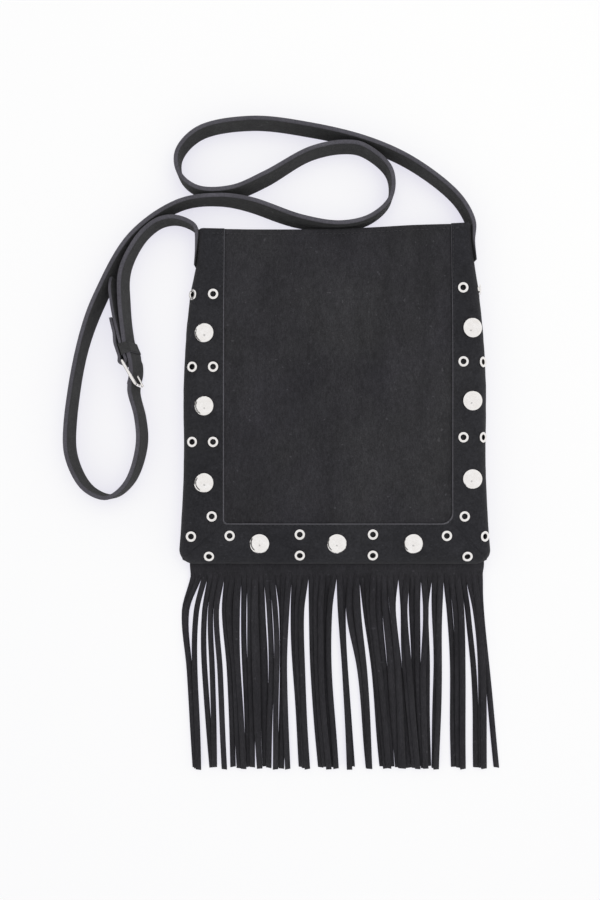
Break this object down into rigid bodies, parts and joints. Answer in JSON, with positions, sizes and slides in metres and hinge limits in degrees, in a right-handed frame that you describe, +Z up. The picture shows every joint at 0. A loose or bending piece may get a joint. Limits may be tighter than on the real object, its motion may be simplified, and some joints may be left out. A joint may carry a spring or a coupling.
{
  "type": "shoulder bag",
  "caption": "Flat fringed suede shoulder bag on its back, with a studded mitred border, an open lined mouth and a coiled strap with a wire buckle.",
  "frame": {"origin": "centre of the back panel, on the floor that the bag lies on", "axes": "+X to the right across the bag, +Y from the fringe to the mouth, +Z up out of the front panel"},
  "size_m": [0.3652, 0.5453, 0.0283],
  "materials": {
    "black_suede": "napped charcoal suede",
    "panel_suede": "mottled napped charcoal suede",
    "fringe_suede": "napped charcoal suede",
    "strap_leather": "napped leather with raw cut edges",
    "lining_cloth": "plain dark cotton",
    "nickel": "bright nickel plate"
  },
  "bodies": {
    "bag": {"back_panel": "black_suede", "border_bottom": "black_suede", "border_left": "black_suede", "border_right": "black_suede", "buckle_tab": "strap_leather", "eyelet_bottom_13": "nickel", "eyelet_bottom_14": "nickel", "eyelet_bottom_15": "nickel", "eyelet_bottom_16": "nickel", "eyelet_bottom_19": "nickel", "eyelet_bottom_20": "nickel", "eyelet_bottom_23": "nickel", "eyelet_bottom_24": "nickel", "eyelet_left_01": "nickel", "eyelet_left_02": "nickel", "eyelet_left_03": "nickel", "eyelet_left_04": "nickel", "eyelet_left_05": "nickel", "eyelet_left_06": "nickel", "eyelet_left_17": "nickel", "eyelet_left_18": "nickel", "eyelet_right_07": "nickel", "eyelet_right_08": "nickel", "eyelet_right_09": "nickel", "eyelet_right_10": "nickel", "eyelet_right_11": "nickel", "eyelet_right_12": "nickel", "eyelet_right_21": "nickel", "eyelet_right_22": "nickel", "fringe": "fringe_suede", "front_panel": "panel_suede", "lining": "lining_cloth", "shoulder_strap": "strap_leather", "strap_keeper": "strap_leather", "stud_bottom_4": "nickel", "stud_bottom_5": "nickel", "stud_bottom_6": "nickel", "stud_left_1": "nickel", "stud_left_2": "nickel", "stud_left_3": "nickel", "stud_right_7": "nickel", "stud_right_8": "nickel", "stud_right_9": "nickel"},
    "frame_of_buckle": {"buckle_frame": "nickel"},
    "prong_of_buckle": {"buckle_prong": "nickel"}
  },
  "joints": [
    {"name": "buckle_frame_hinge", "type": "hinge", "parent": "bag", "child": "frame_of_buckle", "pos_m": [-0.1758, 0.0288, 0.0136], "axis": [0, 0, 1], "range_deg": [-3, 0]},
    {"name": "buckle_prong_hinge", "type": "hinge", "parent": "bag", "child": "prong_of_buckle", "pos_m": [-0.1758, 0.0288, 0.0136], "axis": [0, 0, 1], "range_deg": [0, 3]}
  ]
}
